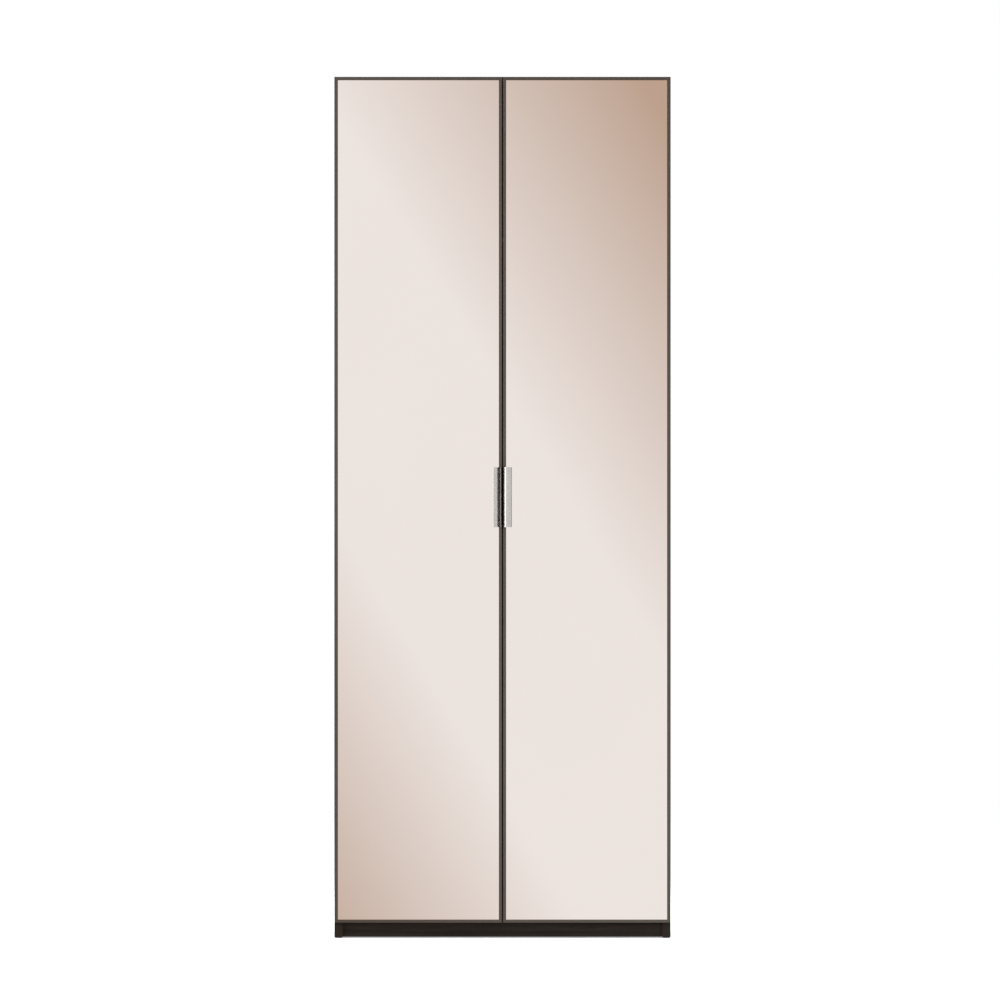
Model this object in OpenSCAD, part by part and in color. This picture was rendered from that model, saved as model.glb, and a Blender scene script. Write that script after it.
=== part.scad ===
// Tall two-door wardrobe: a frameless panel cabinet with full-height mirror-glass doors
// in slim metal edge frames, hung on concealed cup hinges.
// +X is to the right, +Y runs from the doors to the back, +Z is up.
// The origin is on the floor, under the middle of the whole piece.

/* [Cabinet] */
// Outside width
width = 900; // [860:10:940]
// Outside height
height = 2305; // [2200:5:2400]
// Depth with the doors shut, without the handles
depth = 600; // [560:10:640]
// Thickness of the sides, top, bottom and shelf
panel_t = 22; // [20:1:24]
// Thickness of the back panels
back_t = 3.2; // [3:0.1:5]
// Height of the open strip below the bottom panel
plinth_h = 44; // [42:1:70]

/* [Doors] */
// Thickness of a door
door_t = 20; // [20:1:22]
// Gap between the two doors
door_gap = 3; // [2:0.5:5]
// Strip of cabinet left showing beside and above the doors
reveal = 1.5; // [1:0.5:2]
// Air between the doors and the cabinet
door_clear = 2; // [2:0.1:3]
// Height of the lower edge of the doors above the floor
door_bottom = 42; // [41:1:44]
// Width of the metal edge seen around the glass
frame_face = 8; // [5:1:10]
// Thickness of the metal edge's outer web
frame_web = 1.6; // [1.2:0.1:2]
// Thickness of the glass
glass_t = 4; // [3:1:5]

/* [Handles] */
// Length of a handle
handle_len = 160; // [144:8:240]
// Height of the middle of the handles above the floor
handle_z = 1180; // [1000:10:1250]
// How far a handle stands out from the door
handle_out = 26; // [20:1:28]
// Wall thickness of a handle
handle_wall = 2.4; // [2:0.1:3]
// Distance between the two screws of a handle
handle_pitch = 128; // [96:32:128]

/* [Inside] */
// Height of the underside of the hat shelf
hat_shelf_z = 1930; // [1850:10:1960]
// Distance from the underside of the hat shelf to the middle of the clothes rail
rail_drop = 60; // [50:5:80]

/* [Hinges] */
// Number of hinges on each door
hinges_per_door = 5; // [3:1:5]
// Distance of the end hinges from the door's ends
hinge_end = 100; // [80:10:140]

/* [Hidden] */

LEFT = 0;
RIGHT = 1;
bit = 0.5;      // how far a cutter runs past a face
$fn = 48;

// Colours
wenge = [0.19, 0.16, 0.14];
champagne = [0.90, 0.85, 0.80];
dark_metal = [0.30, 0.28, 0.26];
chrome = [0.85, 0.85, 0.86];
zinc = [0.68, 0.69, 0.71];
steel = [0.60, 0.61, 0.63];
fibreboard = [0.30, 0.25, 0.21];
beech = [0.80, 0.66, 0.47];
dark_plastic = [0.14, 0.13, 0.13];
clear_plastic = [0.80, 0.80, 0.78];

// Positions along Y, from the handles' front to the cabinet's back
handle_y = -(depth + handle_out) / 2;
door_y = handle_y + handle_out;
door_back = door_y + door_t;
body_y = door_back + door_clear;
body_back = -handle_y;
body_d = body_back - body_y;

// Cabinet
glide_h = 3;
inner_x = width / 2 - panel_t;
bottom_top = plinth_h + panel_t;
top_under = height - panel_t;
back_recess = 18;               // from the back edge to the front of the back panels
groove_d = 8;
groove_y = body_back - back_recess - 0.2;
groove_w = back_t + 0.4;
plinth_t = 16;
plinth_y = body_y + 20;
rear_plinth_y = body_back - 60;
glide_ys = [body_y + 30, body_back - 30];
back_screw_xs = [60, 214, 368]; // from the middle of the cabinet

// Panel joints: cam bolts and dowels at the ends of the top and bottom panels
cam_r = 7.5;
cam_h = 12.5;
cam_in = 34;                    // cam centre to the panel's end
cam_bolt_r = 3.5;
cam_thread_r = 2.5;             // radius of the holes for the bolts' threads
cam_thread_l = 11;
thread_play = 0.05;
joint_ys = [body_y + 60, body_back - 110];
dowel_ys = [body_y + 110, body_back - 160];
dowel_r = 4;
dowel_l = 30;
dowel_in_side = 12;
plinth_dowel_z = (glide_h + plinth_h) / 2;
panel_zs = [plinth_h + panel_t / 2, height - panel_t / 2];

// Rows of 5 mm holes for the shelf pins and hinge plates
system_r = 2.5;
system_depth = 12;
system_in = 37;                 // from the side's front edge to the first column
system_pitch = 32;
pin_drop = 4;                   // from the shelf's underside to a pin's middle
system_ys = [body_y + system_in, groove_y - system_in];
system_rows = 3;                // rows of holes above and below the hat shelf's pins

// Clothes rail, an oval tube
rail_w = 15;
rail_h = 30;
rail_wall = 1.2;
rail_y = (body_y + groove_y) / 2;
rail_z = hat_shelf_z - rail_drop;
socket_t = 3;
socket_screw_dz = 23;

// Feet
foot_in = 45;                   // from a side's inner face to a foot
foot_ys = [plinth_y + plinth_t + 28, rear_plinth_y - 28];
foot_r = 5;
foot_lift = 4;                  // the retracted foot's height above the floor

// Wall brackets under the top panel
bracket_x = 250;
bracket_w = 40;
bracket_leg = 50;
bracket_t = 2.5;
bracket_hole_r = 3;
bracket_hole_drop = 30;

// Doors
door_x0 = -width / 2 + reveal;
door_x1 = -door_gap / 2;
door_z0 = door_bottom;
door_z1 = height - reveal;
mitre_gap = 0.05;
fit = 0.2;                      // play of the glass and the board in the edge frame
board_t = door_t - glass_t;
handle_r = handle_out / 2;
handle_zs = [handle_z - handle_pitch / 2, handle_z + handle_pitch / 2];
handle_edge = 0.5;              // from the door's inner edge to the handle
handle_screw_u = handle_edge + handle_r + 5.5;
handle_lip = 10;                // straight part of the handle's grip and foot

// Hinges. Points are [distance in from the cabinet's outer face, depth behind its front edge].
hinge_zs = [for (i = [0:hinges_per_door - 1])
    door_z0 + hinge_end + i * (door_z1 - door_z0 - 2 * hinge_end) / (hinges_per_door - 1)];
cup_x = 26;
cup_r = 17.5;
cup_cavity_r = 16;
cup_depth = 12.4;
cup_floor = 1.2;
arm_pivot_outer = [40, 16];
arm_pivot_inner = [43.2, 2.4];
cup_pivot_outer = [13.2, -5];
cup_pivot_inner = [16.1, -10.8];
outer_bend = [15.2, -10.9];
inner_bend = [27.2, -11.3];
outer_link_z = [4.7, 6.7];      // each outer link lies between these distances from the hinge's middle
inner_link_z = 2.7;
lug_z = [3.1, 4.3];
cheek_z = [7.1, 8.6];
link_pin_r = 1.1;
cup_pin_r = 0.9;
plate_screw_dz = 16;
cup_screw_dz = 22.5;
cup_screw_x = 35.5;
arm_screw_y = 52;
arm_top = 47.3;                 // outside of the arm's web
arm_sheet = 1.5;

// ---------- helpers ----------

// Draws its children as modelled for the left, or mirrored for the right
module on_side(side) {
    if (side == RIGHT) mirror([1, 0, 0]) children();
    else children();
}

module both_sides() {
    for (side = [LEFT, RIGHT]) on_side(side) children();
}

// Box from its lowest and highest corners
module block(a, b) {
    translate(a) cube(b - a);
}

module rod_x(p, r, l) {
    translate(p) rotate([0, 90, 0]) cylinder(r = r, h = l);
}

module rod_y(p, r, l) {
    translate(p) rotate([-90, 0, 0]) cylinder(r = r, h = l);
}

module rod_z(p, r, l) {
    translate(p) cylinder(r = r, h = l);
}

// Outline in the XZ plane, extruded from y0 to y1
module front_plate(outline, y0, y1) {
    translate([0, y1, 0]) rotate([90, 0, 0]) linear_extrude(y1 - y0) polygon(outline);
}

// Screw along +Z from the origin, its head below the origin and a cross recess in it
module screw(shank_r, shank_l, head_r, head_h) {
    cross_w = head_r / 3;
    cylinder(r = shank_r, h = shank_l);
    difference() {
        translate([0, 0, -head_h]) cylinder(r = head_r, h = head_h);
        for (a = [0, 90]) rotate([0, 0, a])
            translate([-head_r * 0.6, -cross_w / 2, -head_h - bit]) cube([head_r * 1.2, cross_w, head_h * 0.5 + bit]);
    }
}

// Flat bar of half-width r along 2D points, with round ends and corners
module bar_2d(points, r) {
    for (i = [0:len(points) - 2]) {
        a = points[i];
        d = points[i + 1] - a;
        translate(a) rotate(atan2(d[1], d[0])) translate([0, -r]) square([norm(d), 2 * r]);
    }
    for (p = points) translate(p) circle(r = r);
}

// Places a piece drawn in a hinge's own axes: x in from the cabinet's outer face,
// y back from its front edge, z from the hinge's middle
module at_hinges() {
    for (z = hinge_zs) translate([-width / 2, body_y, z]) children();
}

module flat(z0, z1) {
    translate([0, 0, z0]) linear_extrude(z1 - z0) children();
}

// ---------- cabinet ----------

module groove_cut() {
    block([-inner_x - groove_d, groove_y, plinth_h], [-inner_x + bit, groove_y + groove_w, height + bit]);
}

module panel_joint_holes() {
    for (z = panel_zs) {
        for (y = joint_ys) rod_x([-inner_x - cam_thread_l - 1, y, z], cam_thread_r, cam_thread_l + 1 + bit);
        for (y = dowel_ys) rod_x([-inner_x - dowel_in_side - 1, y, z], dowel_r, dowel_in_side + 1 + bit);
    }
    for (y = [plinth_y, rear_plinth_y])
        rod_x([-inner_x - dowel_in_side - 1, y + plinth_t / 2, plinth_dowel_z], dowel_r, dowel_in_side + 1 + bit);
}

module system_holes() {
    for (y = system_ys, i = [-system_rows:system_rows])
        rod_x([-inner_x - system_depth, y, hat_shelf_z - pin_drop + i * system_pitch], system_r, system_depth + bit);
    for (z = hinge_zs, dz = [-plate_screw_dz, plate_screw_dz])
        rod_x([-inner_x - system_depth, body_y + system_in, z + dz], system_r, system_depth + bit);
}

module side_panel(side) {
    color(wenge) on_side(side) difference() {
        block([-width / 2, body_y, glide_h], [-inner_x, body_back, height]);
        groove_cut();
        panel_joint_holes();
        system_holes();
        for (dz = [-socket_screw_dz, socket_screw_dz])
            rod_x([-inner_x - 13, rail_y, rail_z + dz], 1.75, 13 + bit);
        for (y = glide_ys) rod_z([-width / 2 + panel_t / 2, y, glide_h - bit], 1.1, 15 + bit);
    }
}

// Holes for the cams, their bolts and the dowels in a horizontal panel; cam_z is the face they open on
module panel_end_holes(mid_z, cam_z, cam_dir) {
    both_sides() {
        for (y = joint_ys) {
            rod_x([-inner_x - bit, y, mid_z], cam_bolt_r + 0.1, cam_in + bit);
            rod_z([-inner_x + cam_in, y, cam_dir > 0 ? cam_z - cam_h - 0.5 : cam_z - bit], cam_r, cam_h + 0.5 + bit);
        }
        for (y = dowel_ys) rod_x([-inner_x - bit, y, mid_z], dowel_r, dowel_l - dowel_in_side + 1 + bit);
    }
}

module back_screw_holes() {
    both_sides() for (x = back_screw_xs, z = panel_zs) rod_y([-x, groove_y - 14, z], 1.5, 16 + back_t + bit);
}

module top_panel() {
    color(wenge) difference() {
        block([-inner_x, body_y, top_under], [inner_x, groove_y, height]);
        panel_end_holes(panel_zs[1], height, 1);
        back_screw_holes();
        both_sides() bracket_screw_places() rod_z([0, 0, -bit], 1.75, 14 + bit);
    }
}

module bottom_panel() {
    color(wenge) difference() {
        block([-inner_x, body_y, plinth_h], [inner_x, groove_y, bottom_top]);
        panel_end_holes(panel_zs[0], plinth_h, -1);
        back_screw_holes();
        both_sides() for (y = foot_ys) rod_z([-inner_x + foot_in, y, plinth_h - bit], 6, panel_t + 2 * bit);
    }
}

module hat_shelf() {
    side_play = 1;
    front_back = 24;
    color(wenge) block([-inner_x + side_play, body_y + front_back, hat_shelf_z],
        [inner_x - side_play, body_back - front_back, hat_shelf_z + panel_t]);
}

module plinth(y) {
    color(wenge) difference() {
        block([-inner_x, y, glide_h], [inner_x, y + plinth_t, plinth_h]);
        both_sides() rod_x([-inner_x - bit, y + plinth_t / 2, plinth_dowel_z], dowel_r, dowel_l - dowel_in_side + 1 + bit);
    }
}

module back_panel(side) {
    edge_play = 0.5;
    middle = 1.2;
    color(fibreboard) on_side(side) difference() {
        block([-inner_x - groove_d + edge_play, body_back - back_recess, plinth_h + 2],
            [-middle, body_back - back_recess + back_t, height - 2]);
        for (x = back_screw_xs, z = panel_zs) rod_y([-x, body_back - back_recess - bit, z], 1.75, back_t + 2 * bit);
        rod_y([-bracket_x, body_back - back_recess - bit, top_under - bracket_hole_drop], 4, back_t + 2 * bit);
    }
}

module back_joining_strip() {
    half_w = 8;
    skin = 1;
    play = 0.1;
    front_y = body_back - back_recess;
    rear_y = front_y + back_t + play;
    z0 = plinth_h + 2;
    z1 = height - 2;
    color(dark_plastic) {
        block([-half_w, front_y - play - skin, bottom_top + fit], [half_w, front_y - play, top_under - fit]);
        block([-1, front_y - play - skin / 2, bottom_top + fit], [1, front_y + skin, top_under - fit]);
        block([-1, front_y, z0], [1, rear_y + skin / 2, z1]);
        block([-half_w, rear_y, z0], [half_w, rear_y + skin, z1]);
    }
}

// ---------- fittings inside ----------

module oval_2d(w, h) {
    translate([-w / 2, -(h - w) / 2]) square([w, h - w]);
    for (s = [-1, 1]) translate([0, s * (h - w) / 2]) circle(d = w);
}

// Oval outline across the rail, extruded along +X from x0
module oval_x(x0, l, w, h) {
    translate([x0, rail_y, rail_z]) rotate([90, 0, 90]) linear_extrude(l) oval_2d(w, h);
}

module clothes_rail() {
    end = inner_x - socket_t - 0.5;
    color(chrome) difference() {
        oval_x(-end, 2 * end, rail_w, rail_h);
        oval_x(-end - bit, 2 * end + 2 * bit, rail_w - 2 * rail_wall, rail_h - 2 * rail_wall);
    }
}

module rail_end_sockets() {
    wall = 2;
    reach = 14;
    plate_w = 22;
    plate_h = 62;
    color(zinc) both_sides() difference() {
        union() {
            oval_x(-inner_x, socket_t, plate_w, plate_h);
            oval_x(-inner_x, reach, rail_w + 2 * wall + 0.4, rail_h + 2 * wall + 0.4);
        }
        oval_x(-inner_x + socket_t, reach, rail_w + 0.4, rail_h + 0.4);
        for (dz = [-socket_screw_dz, socket_screw_dz]) rod_x([-inner_x - bit, rail_y, rail_z + dz], 2, socket_t + 2 * bit);
    }
}

module rail_socket_screws() {
    color(steel) both_sides() for (dz = [-socket_screw_dz, socket_screw_dz])
        translate([-inner_x + socket_t, rail_y, rail_z + dz]) rotate([0, -90, 0]) screw(1.7, 15, 3.4, 2);
}

module shelf_pins() {
    reach = 9;
    peg_l = 10;
    color(zinc) both_sides() for (y = system_ys) {
        rod_x([-inner_x - peg_l, y, hat_shelf_z - pin_drop], system_r, peg_l + reach);
        block([-inner_x, y - 6, hat_shelf_z - 1.5], [-inner_x + reach, y + 6, hat_shelf_z]);
        block([-inner_x, y - 1.5, hat_shelf_z - pin_drop], [-inner_x + reach, y + 1.5, hat_shelf_z - 1]);
    }
}

module wooden_dowels() {
    color(beech) both_sides() {
        for (z = panel_zs, y = dowel_ys) rod_x([-inner_x - dowel_in_side, y, z], dowel_r, dowel_l);
        for (y = [plinth_y, rear_plinth_y])
            rod_x([-inner_x - dowel_in_side, y + plinth_t / 2, plinth_dowel_z], dowel_r, dowel_l);
    }
}

module cam_bolts() {
    color(steel) both_sides() for (z = panel_zs, y = joint_ys) {
        rod_x([-inner_x - cam_thread_l, y, z], cam_thread_r - thread_play, cam_thread_l + 1);
        rod_x([-inner_x, y, z], cam_bolt_r, 3);
        rod_x([-inner_x + 2.5, y, z], 2, cam_in - 4);
        rod_x([-inner_x + cam_in - 4, y, z], cam_bolt_r, 3);
    }
}

module cam(z0, mid_z, y, key_z) {
    difference() {
        rod_z([-inner_x + cam_in, y, z0], cam_r, cam_h);
        rod_x([-inner_x, y, mid_z], cam_bolt_r + 0.1, cam_in + 0.5);
        for (a = [0, 90]) translate([-inner_x + cam_in, y, key_z]) rotate([0, 0, a]) cube([8, 1.6, 4], center = true);
    }
}

module cam_connectors() {
    color(zinc) both_sides() for (y = joint_ys) {
        cam(height - cam_h, panel_zs[1], y, height);
        cam(plinth_h, panel_zs[0], y, plinth_h);
    }
}

module back_panel_screws() {
    color(steel) both_sides() for (x = back_screw_xs, z = panel_zs)
        translate([-x, body_back - back_recess + back_t, z]) rotate([90, 0, 0]) screw(1.45, 16, 3.2, 1.6);
}

module floor_glides() {
    color(dark_plastic) both_sides() for (y = glide_ys) {
        rod_z([-width / 2 + panel_t / 2, y, 0], 10, glide_h);
        rod_z([-width / 2 + panel_t / 2, y, glide_h / 2], 1.05, 15);
    }
}

// Screw places of the left wall bracket, on the top panel's underside
module bracket_screw_places() {
    for (dx = [-11, 11]) translate([-bracket_x + dx, groove_y - 28, top_under]) children();
}

module wall_brackets() {
    back_face = body_back - back_recess - 0.1;
    color(zinc) both_sides() difference() {
        union() {
            block([-bracket_x - bracket_w / 2, back_face - bracket_leg, top_under - bracket_t],
                [-bracket_x + bracket_w / 2, back_face, top_under]);
            block([-bracket_x - bracket_w / 2, back_face - bracket_t, top_under - bracket_leg],
                [-bracket_x + bracket_w / 2, back_face, top_under]);
        }
        rod_y([-bracket_x, back_face - bracket_t - bit, top_under - bracket_hole_drop], bracket_hole_r, bracket_t + 2 * bit);
        bracket_screw_places() rod_z([0, 0, -bracket_t - bit], 2, bracket_t + 2 * bit);
    }
}

module wall_bracket_screws() {
    color(steel) both_sides() bracket_screw_places() translate([0, 0, -bracket_t]) screw(1.7, 15, 3.5, 2);
}

// ---------- feet ----------

module foot_sockets() {
    color(dark_plastic) both_sides() for (y = foot_ys) translate([-inner_x + foot_in, y, 0]) difference() {
        union() {
            block([-24, -24, plinth_h - 3], [24, 24, plinth_h]);
            rod_z([0, 0, 20], 13, plinth_h - 20);
            for (a = [0:60:300]) rotate([0, 0, a]) block([8, -1, 30], [22, 1, plinth_h - 2]);
        }
        rod_z([0, 0, 20 - bit], foot_r + 0.05, plinth_h - 20 + 2 * bit);
    }
}

module foot(side, i) {
    disc_h = 6;
    color(dark_plastic) on_side(side) translate([-inner_x + foot_in, foot_ys[i], foot_lift]) difference() {
        union() {
            rotate_extrude() polygon([[0, 0], [17, 0], [19, 2], [19, disc_h], [0, disc_h]]);
            rod_z([0, 0, disc_h / 2], foot_r, plinth_h - foot_lift - disc_h / 2 - 1);
        }
        translate([0, 0, plinth_h - foot_lift - 5]) cylinder(d = 5, h = 5, $fn = 6);
    }
}

module foot_access_caps() {
    color(dark_plastic) both_sides() for (y = foot_ys) translate([-inner_x + foot_in, y, bottom_top]) {
        rod_z([0, 0, 0], 8, 1.2);
        rod_z([0, 0, -8], 5.9, 8.5);
    }
}

// ---------- doors ----------

// Outline of an upright of the edge frame: x is its outer edge, dir points into the door
function stile_outline(x, dir, w) = [
    [x, door_z0 + mitre_gap], [x + dir * w, door_z0 + w + mitre_gap],
    [x + dir * w, door_z1 - w - mitre_gap], [x, door_z1 - mitre_gap]];

// The same for a rail of the edge frame
function rail_outline(z, dir, w) = [
    [door_x0 + mitre_gap, z], [door_x0 + w + mitre_gap, z + dir * w],
    [door_x1 - w - mitre_gap, z + dir * w], [door_x1 - mitre_gap, z]];

module frame_stile(side, x, dir) {
    color(dark_metal) on_side(side) {
        front_plate(stile_outline(x, dir, frame_face), door_y, door_y + glass_t);
        front_plate(stile_outline(x, dir, frame_web), door_y, door_back);
    }
}

module frame_rail(side, z, dir) {
    color(dark_metal) on_side(side) {
        front_plate(rail_outline(z, dir, frame_face), door_y, door_y + glass_t);
        front_plate(rail_outline(z, dir, frame_web), door_y, door_back);
    }
}

module door_glass(side) {
    edge = frame_face + fit;
    color(champagne) on_side(side) difference() {
        block([door_x0 + edge, door_y, door_z0 + edge], [door_x1 - edge, door_y + glass_t, door_z1 - edge]);
        for (z = handle_zs) rod_y([door_x1 - handle_screw_u, door_y - bit, z], 4, glass_t + 2 * bit);
    }
}

module door_board(side) {
    edge = frame_web + fit;
    hinge_x = -width / 2;
    color(wenge) on_side(side) difference() {
        block([door_x0 + edge, door_y + glass_t, door_z0 + edge], [door_x1 - edge, door_back, door_z1 - edge]);
        for (z = handle_zs) rod_y([door_x1 - handle_screw_u, door_y, z], 2.25, door_t + bit);
        for (z = hinge_zs) {
            rod_y([hinge_x + cup_x, door_back - cup_depth, z], cup_r, cup_depth + bit);
            for (dz = [-cup_screw_dz, cup_screw_dz]) rod_y([hinge_x + cup_screw_x, door_back - 13, z + dz], 1.75, 13 + bit);
        }
    }
}

// Section of a handle: x is the distance from the door's edge, y the distance out from its face
module handle_section() {
    middle = handle_edge + handle_r;
    intersection() {
        translate([middle, handle_r]) difference() {
            circle(r = handle_r, $fn = 96);
            circle(r = handle_r - handle_wall, $fn = 96);
        }
        square([middle, 2 * handle_r]);
    }
    translate([middle, 0]) square([handle_lip, handle_wall]);
    translate([middle, handle_out - handle_wall]) square([handle_lip - handle_wall / 2, handle_wall]);
    translate([middle + handle_lip - handle_wall / 2, handle_out - handle_wall / 2]) circle(d = handle_wall);
}

module handle(side) {
    boss_h = 5.5;
    color(chrome) on_side(side) difference() {
        union() {
            translate([door_x1, door_y, handle_z - handle_len / 2]) linear_extrude(handle_len)
                mirror([1, 0]) mirror([0, 1]) handle_section();
            for (z = handle_zs) rod_y([door_x1 - handle_screw_u, door_y - boss_h, z], 4.2, boss_h);
        }
        for (z = handle_zs) rod_y([door_x1 - handle_screw_u, door_y - boss_h + 0.5, z], 2, boss_h + bit);
    }
}

module handle_screws(side) {
    color(steel) on_side(side) for (z = handle_zs)
        translate([door_x1 - handle_screw_u, door_back, z]) rotate([90, 0, 0]) screw(1.95, door_t + 4.5, 4.2, 1.6);
}

module door_bumpers(side) {
    color(clear_plastic) on_side(side) for (z = panel_zs, x = [18, 40])
        rod_y([door_x1 - x, door_back, z], 4, door_clear - 0.3);
}

// ---------- hinges ----------

module hinge_mounting_plates() {
    wing_h = 24;
    wing_t = 2;
    block_top = 34;
    color(zinc) both_sides() at_hinges() difference() {
        union() {
            block([panel_t, system_in - 7, -wing_h], [panel_t + wing_t, system_in + 7, wing_h]);
            block([panel_t, 26, -6.8], [block_top, 68, 6.8]);
        }
        for (dz = [-plate_screw_dz, plate_screw_dz]) rod_x([panel_t - bit, system_in, dz], 2.6, wing_t + 2 * bit);
        rod_x([panel_t + 3, arm_screw_y, 0], 3, block_top);
    }
}

module hinge_arms() {
    cheek = [[36.5, 13], [41, 0.4], [45.6, 0.4], [arm_top, 10], [arm_top, 70], [33, 70], [33, 30], [36.5, 24]];
    color(zinc) both_sides() at_hinges() difference() {
        union() {
            flat(cheek_z[0], cheek_z[1]) polygon(cheek);
            flat(-cheek_z[1], -cheek_z[0]) polygon(cheek);
            block([arm_top - arm_sheet, 10, -cheek_z[1]], [arm_top, 70, cheek_z[1]]);
        }
        for (p = [arm_pivot_outer, arm_pivot_inner]) rod_z([p[0], p[1], -10], link_pin_r, 20);
        rod_x([arm_top - 3, arm_screw_y, 0], 3.1, 6);
    }
}

module hinge_plate_screws() {
    color(steel) both_sides() at_hinges() for (dz = [-plate_screw_dz, plate_screw_dz])
        translate([panel_t + 2, system_in, dz]) rotate([0, -90, 0]) screw(system_r, 13, 4, 2);
}

module hinge_arm_screws() {
    color(steel) both_sides() at_hinges()
        translate([arm_top, arm_screw_y, 0]) rotate([0, -90, 0]) screw(2.95, 20, 4.2, 2);
}

module hinge_arm_pins() {
    color(steel) both_sides() at_hinges() for (p = [arm_pivot_outer, arm_pivot_inner])
        rod_z([p[0], p[1], -cheek_z[1]], link_pin_r, 2 * cheek_z[1]);
}

module outer_link_2d() {
    difference() {
        union() {
            bar_2d([arm_pivot_outer, outer_bend, cup_pivot_outer], 1.8);
            translate(arm_pivot_outer) circle(r = 2.8);
            translate(cup_pivot_outer) circle(r = 2);
        }
        translate(arm_pivot_outer) circle(r = link_pin_r + 0.05);
        translate(cup_pivot_outer) circle(r = cup_pin_r + 0.05);
    }
}

module outer_links(side) {
    color(zinc) on_side(side) at_hinges() {
        flat(outer_link_z[0], outer_link_z[1]) outer_link_2d();
        flat(-outer_link_z[1], -outer_link_z[0]) outer_link_2d();
    }
}

// The inner link's cup end is an open hook, which lets the pin wander a little in mid-travel
module inner_link_2d() {
    hook_end = cup_pivot_inner + [-1.5, -2.4];
    difference() {
        union() {
            bar_2d([arm_pivot_inner, inner_bend, cup_pivot_inner], 1.5);
            translate(arm_pivot_inner) circle(r = 2.2);
            translate(cup_pivot_inner) circle(r = 2.1);
        }
        translate(arm_pivot_inner) circle(r = link_pin_r + 0.05);
        bar_2d([cup_pivot_inner, hook_end, hook_end + [-1.5, -2.4]], 1.4);
    }
}

module inner_links(side) {
    color(zinc) on_side(side) at_hinges() flat(-inner_link_z, inner_link_z) inner_link_2d();
}

// Cup shell with a wing on each side for its screws; y = -door_clear is the back of the door
module hinge_cup() {
    floor_y = -door_clear - cup_depth;
    slot_x = 10.6;
    slot_z = 7.1;
    wing = 0.9;
    difference() {
        union() {
            rod_y([cup_x, floor_y, 0], cup_r - 0.05, cup_depth);
            rod_y([cup_x, -door_clear, 0], cup_r + 1.5, wing);
            block([29.5, -door_clear, -29], [41.5, -door_clear + wing, 29]);
        }
        rod_y([cup_x, floor_y + cup_floor, 0], cup_cavity_r, cup_depth + 5);
        block([slot_x, floor_y + cup_floor, -slot_z], [cup_x, 5, slot_z]);
        block([0, -door_clear, -9.5], [20, 5, 9.5]);
        for (s = [-1, 1]) {
            rod_z([cup_pivot_outer[0], cup_pivot_outer[1], s * 7.75 - 3.25], cup_pin_r, 6.5);
            rod_y([cup_screw_x, -door_clear - bit, s * cup_screw_dz], 1.9, 2);
        }
    }
    for (s = [-1, 1]) lug(s, floor_y + cup_floor / 2);
}

// Lug on the cup's floor that holds one end of the inner link's pin
module lug(s, foot_y) {
    difference() {
        flat(s > 0 ? lug_z[0] : -lug_z[1], s > 0 ? lug_z[1] : -lug_z[0]) {
            translate(cup_pivot_inner) circle(r = 2);
            translate([cup_pivot_inner[0] - 2, foot_y]) square([4, cup_pivot_inner[1] - foot_y]);
        }
        rod_z([cup_pivot_inner[0], cup_pivot_inner[1], -6], cup_pin_r, 12);
    }
}

module hinge_cups(side) {
    color(zinc) on_side(side) at_hinges() hinge_cup();
}

module cup_pins(side) {
    stub = [4.7, 11];
    color(steel) on_side(side) at_hinges() {
        rod_z([cup_pivot_outer[0], cup_pivot_outer[1], stub[0]], cup_pin_r, stub[1] - stub[0]);
        rod_z([cup_pivot_outer[0], cup_pivot_outer[1], -stub[1]], cup_pin_r, stub[1] - stub[0]);
        rod_z([cup_pivot_inner[0], cup_pivot_inner[1], -lug_z[1]], cup_pin_r, 2 * lug_z[1]);
    }
}

module cup_screws(side) {
    color(steel) on_side(side) at_hinges() for (dz = [-cup_screw_dz, cup_screw_dz])
        translate([cup_screw_x, -door_clear + 0.9, dz]) rotate([90, 0, 0]) screw(1.7, 13, 3.5, 0.7);
}

// ---------- the nodes ----------

side_panel(LEFT);  // left_side_panel
side_panel(RIGHT);  // right_side_panel
top_panel();
bottom_panel();
hat_shelf();
plinth(plinth_y);  // front_plinth
plinth(rear_plinth_y);  // rear_plinth
back_panel(LEFT);  // left_back_panel
back_panel(RIGHT);  // right_back_panel
back_joining_strip();
clothes_rail();
rail_end_sockets();
rail_socket_screws();
shelf_pins();
wooden_dowels();
cam_connectors();
cam_bolts();
back_panel_screws();
floor_glides();
wall_brackets();
wall_bracket_screws();
foot_sockets();
foot_access_caps();
foot(LEFT, 0);  // front_left_foot
foot(RIGHT, 0);  // front_right_foot
foot(LEFT, 1);  // rear_left_foot
foot(RIGHT, 1);  // rear_right_foot
hinge_mounting_plates();
hinge_arms();
hinge_plate_screws();
hinge_arm_screws();
hinge_arm_pins();
outer_links(LEFT);  // left_outer_links
inner_links(LEFT);  // left_inner_links
outer_links(RIGHT);  // right_outer_links
inner_links(RIGHT);  // right_inner_links
door_glass(LEFT);  // left_door_glass
door_board(LEFT);  // left_door_board
frame_stile(LEFT, door_x0, 1);  // left_frame_outer_stile
frame_stile(LEFT, door_x1, -1);  // left_frame_inner_stile
frame_rail(LEFT, door_z1, -1);  // left_frame_top_rail
frame_rail(LEFT, door_z0, 1);  // left_frame_bottom_rail
handle(LEFT);  // left_handle
handle_screws(LEFT);  // left_handle_screws
hinge_cups(LEFT);  // left_hinge_cups
cup_screws(LEFT);  // left_cup_screws
cup_pins(LEFT);  // left_cup_pins
door_bumpers(LEFT);  // left_door_bumpers
door_glass(RIGHT);  // right_door_glass
door_board(RIGHT);  // right_door_board
frame_stile(RIGHT, door_x0, 1);  // right_frame_outer_stile
frame_stile(RIGHT, door_x1, -1);  // right_frame_inner_stile
frame_rail(RIGHT, door_z1, -1);  // right_frame_top_rail
frame_rail(RIGHT, door_z0, 1);  // right_frame_bottom_rail
handle(RIGHT);  // right_handle
handle_screws(RIGHT);  // right_handle_screws
hinge_cups(RIGHT);  // right_hinge_cups
cup_screws(RIGHT);  // right_cup_screws
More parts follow.
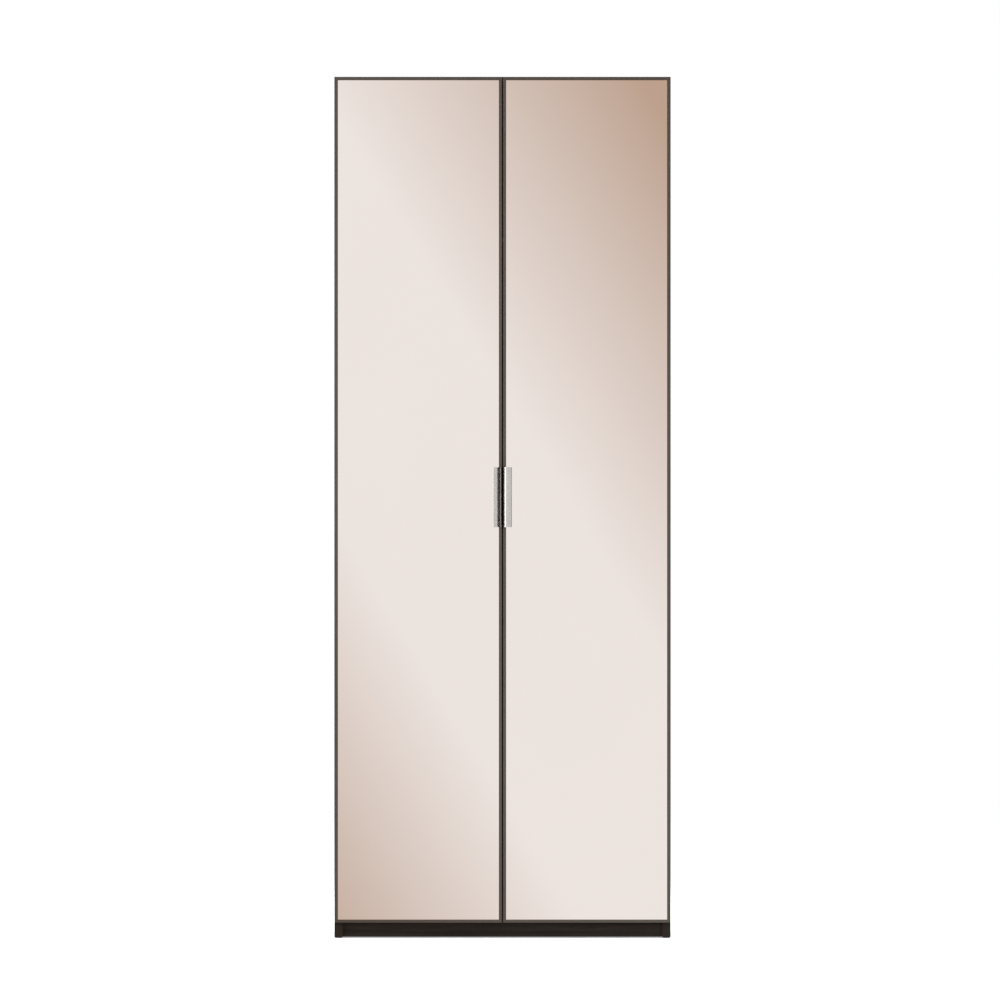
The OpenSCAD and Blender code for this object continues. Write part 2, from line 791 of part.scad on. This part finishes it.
cup_pins(RIGHT);  // right_cup_pins
door_bumpers(RIGHT);  // right_door_bumpers
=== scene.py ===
"""Looks for the two-door wardrobe: materials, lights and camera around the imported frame."""

import math

import bpy
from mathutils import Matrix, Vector


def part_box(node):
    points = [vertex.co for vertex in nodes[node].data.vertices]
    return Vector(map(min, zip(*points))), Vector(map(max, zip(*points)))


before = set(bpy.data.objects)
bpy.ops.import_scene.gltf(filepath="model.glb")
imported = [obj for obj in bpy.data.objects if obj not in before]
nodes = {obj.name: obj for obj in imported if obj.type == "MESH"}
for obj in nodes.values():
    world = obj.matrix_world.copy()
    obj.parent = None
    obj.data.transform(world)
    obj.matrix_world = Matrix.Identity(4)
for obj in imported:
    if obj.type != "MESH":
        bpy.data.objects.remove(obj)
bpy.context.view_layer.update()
scene = bpy.context.scene
SIDES = ("left", "right")


# ---------- small node helpers ----------

def set_range(made, low, high, to_low, to_high):
    """Fills in a Map Range node."""
    for key, number in (("From Min", low), ("From Max", high), ("To Min", to_low), ("To Max", to_high)):
        made.inputs[key].default_value = number


class Shader:
    """A material's node tree, with short calls for the nodes that the materials share."""

    def __init__(self, name):
        self.material = bpy.data.materials.new(name)
        self.material.use_nodes = True
        self.tree = self.material.node_tree
        self.surface = self.tree.nodes["Principled BSDF"]

    def node(self, kind, **settings):
        made = self.tree.nodes.new(kind)
        for key, value in settings.items():
            setattr(made, key, value)
        return made

    def link(self, source, target):
        self.tree.links.new(source, target)

    def set(self, **values):
        """Sets the surface's own sockets; an underscore in a key stands for a space."""
        for key, value in values.items():
            self.surface.inputs[key.replace("_", " ")].default_value = value

    def place(self, stretch=(1, 1, 1)):
        """The object's own coordinates in metres, multiplied by stretch."""
        where = self.node("ShaderNodeTexCoord")
        mapping = self.node("ShaderNodeMapping")
        mapping.inputs["Scale"].default_value = stretch
        self.link(where.outputs["Object"], mapping.inputs["Vector"])
        return mapping.outputs["Vector"]

    def noise(self, scale, detail=4.0, rough=0.55, stretch=(1, 1, 1), warp=0.0):
        made = self.node("ShaderNodeTexNoise")
        made.inputs["Scale"].default_value = scale
        made.inputs["Detail"].default_value = detail
        made.inputs["Roughness"].default_value = rough
        made.inputs["Distortion"].default_value = warp
        self.link(self.place(stretch), made.inputs["Vector"])
        return made.outputs["Fac"]

    def range(self, value, low, high, to_low, to_high):
        """Takes low to high over into to_low to to_high, and stops at both ends."""
        made = self.node("ShaderNodeMapRange")
        set_range(made, low, high, to_low, to_high)
        self.link(value, made.inputs["Value"])
        return made.outputs["Result"]

    def math(self, operation, *values):
        made = self.node("ShaderNodeMath", operation=operation)
        for socket, value in zip(made.inputs, values):
            if isinstance(value, (int, float)):
                socket.default_value = value
            else:
                self.link(value, socket)
        return made.outputs["Value"]

    def mix(self, factor, low_colour, high_colour):
        """A colour between the two, each given as a colour or a socket."""
        made = self.node("ShaderNodeMix", data_type="RGBA")
        colour_inputs = [socket for socket in made.inputs if socket.type == "RGBA"]
        self.link(factor, made.inputs["Factor"])
        for socket, value in zip(colour_inputs, (low_colour, high_colour)):
            if isinstance(value, tuple):
                socket.default_value = (*value, 1)
            else:
                self.link(value, socket)
        return next(socket for socket in made.outputs if socket.type == "RGBA")

    def blend(self, noise, span, low_colour, high_colour, most=1):
        """Goes from one colour towards the other, up to the share most, over a span of the noise."""
        return self.mix(self.range(noise, *span, 0, most), low_colour, high_colour)

    def bump(self, height, distance):
        made = self.node("ShaderNodeBump")
        made.inputs["Distance"].default_value = distance
        self.link(height, made.inputs["Height"])
        self.link(made.outputs["Normal"], self.surface.inputs["Normal"])

    def colour(self, socket):
        self.link(socket, self.surface.inputs["Base Color"])

    def roughness(self, noise, span, smoothest, roughest):
        """Roughness from one value to the other over a span of the noise."""
        self.link(self.range(noise, *span, smoothest, roughest), self.surface.inputs["Roughness"])


def along(axis, ratio):
    """Stretch that draws a texture out along one axis, so that it reads as grain or brushing."""
    return tuple(ratio if letter == axis else 1.0 for letter in "xyz")


def dimmed(tint, share):
    return tuple(part * share for part in tint)


# ---------- materials ----------

NOISE_SPAN = (0.3, 0.7)      # where most of a noise's values lie
NARROW_SPAN = (0.35, 0.65)   # part of it, for more contrast
SMUDGE_ROUGH = 0.015

# Colours of the materials
GLASS_TINT = (0.845, 0.773, 0.736)
LAMINATE_DARK = (0.0095, 0.0055, 0.0032)
LAMINATE_LIGHT = (0.041, 0.0265, 0.0175)
EDGE_BAND = (0.0100, 0.0060, 0.0038)
# the plinths' laminate is dimmed by this share: painted shade for the recessed plinths under the cabinet
PLINTH_PAINTED_SHADE = 0.5
HARDBOARD_DARK = (0.041, 0.031, 0.024)
HARDBOARD_LIGHT = (0.047, 0.036, 0.028)
HARDBOARD_FIBRE = (0.026, 0.019, 0.015)
EDGE_METAL_DARK = (0.066, 0.056, 0.048)
EDGE_METAL_LIGHT = (0.084, 0.071, 0.061)
EDGE_METAL_BRUSH = (0.11, 0.092, 0.078)
HANDLE_TINT = (0.54, 0.515, 0.49)
RAIL_TINT = (0.72, 0.72, 0.73)
NICKEL_TINT = (0.70, 0.69, 0.68)
ZINC_TINT = (0.60, 0.61, 0.63)
BEECH_LIGHT = (0.60, 0.42, 0.25)
BEECH_DARK = (0.42, 0.27, 0.15)
PLASTIC_DARK = (0.012, 0.011, 0.010)
PLASTIC_LIGHT = (0.020, 0.018, 0.017)
BUMPER_CLEAR = (0.78, 0.77, 0.74)
BUMPER_CLOUDY = (0.66, 0.65, 0.62)
FLOOR_DARK = (0.90, 0.90, 0.90)
FLOOR_LIGHT = (0.92, 0.92, 0.92)


def mirror_glass():
    """Tinted mirror glass: a warm silvered layer under clear glass, with the faint haze of wiped glass."""
    s = Shader("champagne_mirror_glass")
    s.set(Metallic=1.0, IOR=1.52, Coat_Weight=0.25, Coat_Roughness=0.01, Coat_IOR=1.52)
    cloud = s.noise(2.3, detail=3, stretch=(1, 1, 0.6))
    s.colour(s.blend(cloud, NOISE_SPAN, dimmed(GLASS_TINT, 0.985), GLASS_TINT))
    wipe = s.noise(9, detail=5, rough=0.6, stretch=(1, 1, 0.35), warp=0.8)
    s.roughness(wipe, (0.35, 0.75), 0.035, 0.075)
    s.bump(s.noise(1.6, detail=1), distance=0.00012)
    return s.material


def laminate(name, axis, shade=1.0, banded=True):
    """Dark wenge laminate: fine pores and streaks drawn out along the panel, plain bands on its edges."""
    s = Shader(name)
    streak = s.noise(40, detail=9, rough=0.68, stretch=along(axis, 0.03), warp=0.35)
    band = s.noise(7, detail=3, stretch=along(axis, 0.06), warp=1.2)
    pores = s.noise(1100, detail=2, rough=0.5, stretch=along(axis, 0.014))
    tone = s.math("ADD", s.math("MULTIPLY", streak, 0.75), s.math("MULTIPLY", band, 0.25))
    # a share below 1 dims the whole laminate: painted shade, used for the recessed plinths
    dark = dimmed(LAMINATE_DARK, shade)
    pore = s.range(pores, 0.54, 0.66, 0, 1)
    wood = s.blend(tone, (0.38, 0.62), dark, dimmed(LAMINATE_LIGHT, shade))
    wood = s.mix(s.math("MULTIPLY", pore, 0.8), wood, dark)
    if banded:
        normal = s.node("ShaderNodeSeparateXYZ")
        s.link(s.node("ShaderNodeTexCoord").outputs["Normal"], normal.inputs[0])
        front = s.range(normal.outputs["Y"], -0.6, -0.9, 0, 1)
        end = s.range(s.math("ABSOLUTE", normal.outputs[axis.upper()]), 0.6, 0.9, 0, 1)
        wood = s.mix(s.math("MAXIMUM", front, end), wood, EDGE_BAND)
    s.colour(wood)
    s.roughness(streak, NOISE_SPAN, 0.42, 0.58)
    s.bump(s.math("SUBTRACT", s.math("MULTIPLY", tone, 0.4), pore), distance=0.00012)
    s.set(Specular_IOR_Level=0.15)
    return s.material


def hardboard():
    """Back panel: dark lacquered hardboard with a faint fibre pattern."""
    s = Shader("dark_hardboard")
    fibre = s.noise(240, detail=4, rough=0.7)
    cloud = s.noise(6, detail=4)
    base = s.blend(cloud, NARROW_SPAN, HARDBOARD_DARK, HARDBOARD_LIGHT)
    s.colour(s.blend(fibre, (0.5, 0.72), base, HARDBOARD_FIBRE, most=0.6))
    s.roughness(fibre, NOISE_SPAN, 0.55, 0.75)
    s.bump(fibre, distance=0.00015)
    return s.material


def edge_metal(name, axis):
    """Bronze-grey anodised aluminium, brushed along the profile."""
    s = Shader(name)
    s.set(Metallic=0.85, Anisotropic=0.4)
    brush = s.noise(900, detail=3, rough=0.6, stretch=along(axis, 0.004))
    cloud = s.noise(12, detail=3, stretch=along(axis, 0.1))
    base = s.blend(cloud, NOISE_SPAN, EDGE_METAL_DARK, EDGE_METAL_LIGHT)
    s.colour(s.blend(brush, (0.4, 0.65), base, EDGE_METAL_BRUSH, most=0.5))
    s.roughness(brush, NARROW_SPAN, 0.30, 0.44)
    s.bump(brush, distance=0.00003)
    return s.material


def polished_metal(name, tint, axis, rough_low, rough_high, metallic=1.0):
    """Bright-dipped metal with hairline polishing marks along one axis and the faintest smudges."""
    s = Shader(name)
    s.set(Metallic=metallic)
    hairline = s.noise(1300, detail=3, rough=0.6, stretch=along(axis, 0.006))
    smudge = s.noise(38, detail=4, warp=0.6)
    s.colour(s.blend(smudge, (0.35, 0.7), tint, dimmed(tint, 0.93)))
    marks = s.range(hairline, *NARROW_SPAN, rough_low, rough_high)
    haze = s.range(smudge, 0.4, 0.8, 0, SMUDGE_ROUGH)
    s.link(s.math("ADD", marks, haze), s.surface.inputs["Roughness"])
    s.bump(hairline, distance=0.000004)
    return s.material


def plated_metal(name, tint, rough):
    """Zinc or nickel plating on pressed and cast pieces: a fine grain and a slightly cloudy finish."""
    s = Shader(name)
    s.set(Metallic=0.9)
    grain = s.noise(1500, detail=2, rough=0.5)
    cloud = s.noise(70, detail=4)
    s.colour(s.blend(cloud, (0.35, 0.7), tint, dimmed(tint, 0.8)))
    s.roughness(cloud, NOISE_SPAN, rough, rough + 0.14)
    s.bump(grain, distance=0.00003)
    return s.material


def beech():
    """Turned beech with its grain along the dowel."""
    s = Shader("turned_beech")
    grain = s.noise(160, detail=5, stretch=along("x", 0.08))
    s.colour(s.blend(grain, NARROW_SPAN, BEECH_LIGHT, BEECH_DARK))
    s.roughness(grain, NOISE_SPAN, 0.6, 0.75)
    s.bump(grain, distance=0.0001)
    return s.material


def moulded_plastic():
    """Dark plastic with the fine texture of its mould."""
    s = Shader("dark_moulded_plastic")
    texture = s.noise(1100, detail=3, rough=0.6)
    cloud = s.noise(40, detail=3)
    s.colour(s.blend(cloud, NOISE_SPAN, PLASTIC_DARK, PLASTIC_LIGHT))
    s.roughness(texture, NOISE_SPAN, 0.42, 0.6)
    s.bump(texture, distance=0.00005)
    return s.material


def clear_bumper():
    """Soft clear bumper with cloudy patches."""
    s = Shader("clear_soft_bumper")
    cloud = s.noise(500, detail=3)
    s.colour(s.blend(cloud, NOISE_SPAN, BUMPER_CLEAR, BUMPER_CLOUDY))
    s.roughness(cloud, NOISE_SPAN, 0.25, 0.4)
    s.set(Transmission_Weight=0.35, IOR=1.45)
    s.bump(cloud, distance=0.00003)
    return s.material


def paint(material, *names):
    for name in names:
        slots = nodes[name].data.materials
        slots.clear()
        slots.append(material)


def paint_all():
    upright = laminate("laminate_upright", "z")
    lying = laminate("laminate_lying", "x")
    # the same laminate made darker: painted shade for the recessed plinths
    plinth = laminate("laminate_plinth_painted_shade", "x", shade=PLINTH_PAINTED_SHADE, banded=False)
    paint(upright, "left_side_panel", "right_side_panel", "left_door_board", "right_door_board")
    paint(lying, "top_panel", "bottom_panel", "hat_shelf")
    paint(plinth, "front_plinth", "rear_plinth")
    paint(hardboard(), "left_back_panel", "right_back_panel")
    paint(mirror_glass(), "left_door_glass", "right_door_glass")
    stile_metal = edge_metal("edge_metal_upright", "z")
    rail_metal = edge_metal("edge_metal_lying", "x")
    handle_metal = polished_metal(
        "polished_handle_metal", HANDLE_TINT, "z", rough_low=0.20, rough_high=0.28, metallic=0.97)
    satin_chrome = polished_metal("satin_chromed_rail", RAIL_TINT, "x", rough_low=0.22, rough_high=0.30)
    nickel = plated_metal("nickel_plated_steel", NICKEL_TINT, rough=0.24)
    zinc = plated_metal("zinc_plated_screws", ZINC_TINT, rough=0.30)
    plastic = moulded_plastic()
    bumper = clear_bumper()
    for side in SIDES:
        paint(stile_metal, f"{side}_frame_outer_stile", f"{side}_frame_inner_stile")
        paint(rail_metal, f"{side}_frame_top_rail", f"{side}_frame_bottom_rail")
        paint(handle_metal, f"{side}_handle")
        paint(nickel, f"{side}_hinge_cups", f"{side}_outer_links", f"{side}_inner_links")
        paint(zinc, f"{side}_handle_screws", f"{side}_cup_screws", f"{side}_cup_pins")
        paint(bumper, f"{side}_door_bumpers")
        paint(plastic, f"front_{side}_foot", f"rear_{side}_foot")
    paint(satin_chrome, "clothes_rail")
    paint(nickel, "rail_end_sockets", "shelf_pins", "cam_connectors", "wall_brackets")
    paint(nickel, "hinge_mounting_plates", "hinge_arms")
    paint(zinc, "rail_socket_screws", "cam_bolts", "back_panel_screws", "wall_bracket_screws")
    paint(zinc, "hinge_plate_screws", "hinge_arm_screws", "hinge_arm_pins")
    paint(plastic, "back_joining_strip", "floor_glides", "foot_sockets", "foot_access_caps")
    paint(beech(), "wooden_dowels")


# ---------- softened edges ----------

SHELF_EDGE = 0.0008          # widths of the fine bevels, in metres
FRAME_EDGE = 0.0005
SHARP = math.radians(50)     # edges that turn by more than this are bevelled
SAME_POINT = 0.00001         # corners closer than this are one corner


def soften(width, *names):
    """Rounds the sharp edges of a plain CAD profile or board by a fine bevel.

    The faces of a CAD mesh don't share their corners, so a weld joins these first.
    """
    for name in names:
        weld = nodes[name].modifiers.new("joined_corners", "WELD")
        weld.merge_threshold = SAME_POINT
        bevel = nodes[name].modifiers.new("soft_edges", "BEVEL")
        bevel.width = width
        bevel.segments = 2
        bevel.limit_method = "ANGLE"
        bevel.angle_limit = SHARP
        bevel.harden_normals = True


def soften_all():
    soften(SHELF_EDGE, "hat_shelf")
    for side in SIDES:
        soften(FRAME_EDGE, f"{side}_frame_outer_stile", f"{side}_frame_inner_stile")
        soften(FRAME_EDGE, f"{side}_frame_top_rail", f"{side}_frame_bottom_rail")


# ---------- camera and floor ----------

CAMERA_FAR = 40.0            # from the doors' front; the long lens leaves no visible perspective
VIEW_SIZE = 2.675            # width of the picture at the doors' front, in metres
CAMERA_X = -0.0067
CAMERA_Z = 1.1725
SENSOR = 36.0
FLOOR_RADIUS = 14.0
FLOOR_CORNERS = 96
FLOOR_GLOW = 0.32            # lifts the floor to the background's white
doors_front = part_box("left_door_glass")[0].y


def make_camera():
    data = bpy.data.cameras.new("camera")
    data.sensor_width = SENSOR
    data.lens = SENSOR * CAMERA_FAR / VIEW_SIZE
    data.clip_start, data.clip_end = 0.5, 200
    camera = bpy.data.objects.new("camera", data)
    camera.location = (CAMERA_X, doors_front - CAMERA_FAR, CAMERA_Z)
    camera.rotation_euler = (math.radians(90), 0, 0)
    scene.collection.objects.link(camera)
    scene.camera = camera


def make_floor():
    """A pale round floor, bright enough to melt into the background."""
    angles = [math.tau * i / FLOOR_CORNERS for i in range(FLOOR_CORNERS)]
    corners = [(FLOOR_RADIUS * math.cos(a), FLOOR_RADIUS * math.sin(a), 0) for a in angles]
    mesh = bpy.data.meshes.new("floor")
    mesh.from_pydata(corners, [], [tuple(range(FLOOR_CORNERS))])
    floor = bpy.data.objects.new("floor", mesh)
    scene.collection.objects.link(floor)
    s = Shader("pale_floor")
    s.colour(s.blend(s.noise(60, detail=3), NOISE_SPAN, FLOOR_DARK, FLOOR_LIGHT))
    s.set(Roughness=0.9, Specular_IOR_Level=0.1)
    s.set(Emission_Color=(1, 1, 1, 1), Emission_Strength=FLOOR_GLOW)
    mesh.materials.append(s.material)
    floor.visible_glossy = False


# ---------- studio board ----------

# The mirror glass faces this board: a wide, even light field that turns warm and dim towards two
# opposite corners of the doors' mirror image, and is white again beyond the doors' outline
BAND_TILT = math.radians(31.2)       # the light band's normal, above the horizontal
BAND_LOW, BAND_HIGH = 0.203, 0.765   # the band's edges, measured along that normal on the doors
FADE_LOW, FADE_HIGH = 0.70, 0.753    # distances over which the light falls off beyond the band
WARM_DIM = (0.601, 0.455, 0.360)
BOARD_FAR = 0.9                      # from the doors' front to the board
BOARD_REACH = 9.0
HANDLE_DARK_X = 0.16                 # from here to the right the board is black for the handles
SPREAD = 1 + BOARD_FAR / CAMERA_FAR  # how much larger the doors' mirror image is on the board
CLEAR_BESIDE = (0.47, 1.5)           # spans beyond the doors over which the board turns white again
CLEAR_ABOVE = (2.35, 3.6)
CLEAR_BELOW = (-0.05, -1.2)


def board_material():
    s = Shader("reflected_board")
    where = s.node("ShaderNodeSeparateXYZ")
    s.link(s.place(), where.inputs[0])
    x = s.math("DIVIDE", s.math("SUBTRACT", where.outputs["X"], CAMERA_X), SPREAD)
    height = s.math("DIVIDE", s.math("SUBTRACT", where.outputs["Z"], CAMERA_Z), SPREAD)
    z = s.math("ADD", height, CAMERA_Z)
    across = s.math("MULTIPLY", x, math.cos(BAND_TILT))
    upward = s.math("MULTIPLY", z, math.sin(BAND_TILT))
    t = s.math("ADD", across, upward)
    upper = s.range(t, BAND_HIGH, BAND_HIGH + FADE_HIGH, 0, 1)
    lower = s.range(t, BAND_LOW, BAND_LOW - FADE_LOW, 0, 1)
    dim = s.math("MAXIMUM", upper, lower)
    beside = s.range(s.math("ABSOLUTE", x), *CLEAR_BESIDE, 1, 0)
    above = s.range(z, *CLEAR_ABOVE, 1, 0)
    below = s.range(z, *CLEAR_BELOW, 1, 0)
    near = s.math("MULTIPLY", beside, s.math("MULTIPLY", above, below))
    glow = s.node("ShaderNodeEmission")
    s.link(s.mix(s.math("MULTIPLY", dim, near), (1.0, 1.0, 1.0), WARM_DIM), glow.inputs["Color"])
    s.link(glow.outputs[0], s.tree.nodes["Material Output"].inputs["Surface"])
    return s.material


def make_board(name, x0, x1, material):
    """One half of the glowing board, which only glossy surfaces see."""
    y = doors_front - BOARD_FAR
    z0, z1 = -BOARD_REACH, BOARD_REACH
    mesh = bpy.data.meshes.new(name)
    mesh.from_pydata([(x0, y, z0), (x1, y, z0), (x1, y, z1), (x0, y, z1)], [], [(0, 1, 2, 3)])
    mesh.materials.append(material)
    board = bpy.data.objects.new(name, mesh)
    scene.collection.objects.link(board)
    board.visible_camera = False
    board.visible_diffuse = False
    board.visible_shadow = False
    board.visible_transmission = False
    return board


def handle_collection(name, state):
    """Both handles, as those that a light reaches alone ("INCLUDE") or leaves out ("EXCLUDE")."""
    handles = bpy.data.collections.new(name)
    for side in SIDES:
        handles.objects.link(nodes[f"{side}_handle"])
    for entry in handles.collection_objects:
        entry.light_linking.link_state = state
    return handles


def make_boards():
    """The board in two halves: the right one is a black board to the polished handles alone."""
    material = board_material()
    make_board("board_left", -BOARD_REACH, HANDLE_DARK_X, material)
    right = make_board("board_right", HANDLE_DARK_X, BOARD_REACH, material)
    right.light_linking.receiver_collection = handle_collection("all_but_handles", "EXCLUDE")


# ---------- lights ----------

MIDDLE = (0, 0, 1.1)                     # of the wardrobe, where the studio lights point
HANDLE_MIDDLE = (0, doors_front, 1.18)
STUDIO_LEFT, STUDIO_RIGHT = 1.12, 0.86   # brightness of the studio that surfaces see
STUDIO_LEVEL, STUDIO_TOP = 1.0, 0.82


def area_light(name, where, target, size, watts):
    """A rectangular light of the given width and height; surfaces don't mirror it."""
    data = bpy.data.lights.new(name, "AREA")
    data.shape = "RECTANGLE"
    data.size, data.size_y = size
    data.energy = watts
    light = bpy.data.objects.new(name, data)
    light.location = where
    light.rotation_euler = (Vector(target) - Vector(where)).to_track_quat("-Z", "Y").to_euler()
    light.visible_camera = False
    light.visible_glossy = False
    scene.collection.objects.link(light)
    return light


def make_lights():
    area_light("key_left", where=(-3.4, -3.6, 2.6), target=MIDDLE, size=(2.2, 2.6), watts=180)
    area_light("front", where=(0.6, -5.2, 1.5), target=MIDDLE, size=(2.4, 2.4), watts=150)
    area_light("fill_right", where=(3.6, -3.2, 1.9), target=MIDDLE, size=(2.4, 2.6), watts=60)
    area_light("overhead", where=(0, 0.4, 4.6), target=MIDDLE, size=(3.2, 3.2), watts=170)
    area_light("back", where=(1.5, 4.2, 2.4), target=MIDDLE, size=(2.6, 2.4), watts=80)


def make_handle_strip():
    """A strip light on the left that reaches the handles alone and is mirrored in them."""
    strip = area_light(
        "handle_strip_left", where=(-1.6, -0.65, 1.2), target=HANDLE_MIDDLE, size=(1.6, 1.5), watts=26)
    strip.visible_glossy = True
    strip.light_linking.receiver_collection = handle_collection("handles_only", "INCLUDE")


def make_world():
    """White behind the object; surfaces see a studio that is brighter on the left."""
    world = bpy.data.worlds.new("studio")
    world.use_nodes = True
    scene.world = world
    tree = world.node_tree
    tree.nodes.clear()

    def ramp(value, low, high, to_low, to_high):
        made = tree.nodes.new("ShaderNodeMapRange")
        made.interpolation_type = "SMOOTHSTEP"
        set_range(made, low, high, to_low, to_high)
        tree.links.new(value, made.inputs["Value"])
        return made.outputs["Result"]

    direction = tree.nodes.new("ShaderNodeTexCoord")
    parts = tree.nodes.new("ShaderNodeSeparateXYZ")
    tree.links.new(direction.outputs["Generated"], parts.inputs[0])
    strength = tree.nodes.new("ShaderNodeMath")
    strength.operation = "MULTIPLY"
    sideways = ramp(parts.outputs["X"], -0.9, 0.9, STUDIO_LEFT, STUDIO_RIGHT)
    upward = ramp(parts.outputs["Z"], 0.0, 0.9, STUDIO_LEVEL, STUDIO_TOP)
    tree.links.new(sideways, strength.inputs[0])
    tree.links.new(upward, strength.inputs[1])

    seen = tree.nodes.new("ShaderNodeBackground")
    lit = tree.nodes.new("ShaderNodeBackground")
    tree.links.new(strength.outputs[0], lit.inputs["Strength"])
    for background in (seen, lit):
        background.inputs["Color"].default_value = (1, 1, 1, 1)
    path = tree.nodes.new("ShaderNodeLightPath")
    choose = tree.nodes.new("ShaderNodeMixShader")
    tree.links.new(path.outputs["Is Camera Ray"], choose.inputs["Fac"])
    tree.links.new(lit.outputs[0], choose.inputs[1])
    tree.links.new(seen.outputs[0], choose.inputs[2])
    out = tree.nodes.new("ShaderNodeOutputWorld")
    tree.links.new(choose.outputs[0], out.inputs["Surface"])


scene.view_settings.view_transform = "Standard"
paint_all()
soften_all()
make_camera()
make_floor()
make_boards()
make_lights()
make_handle_strip()
make_world()
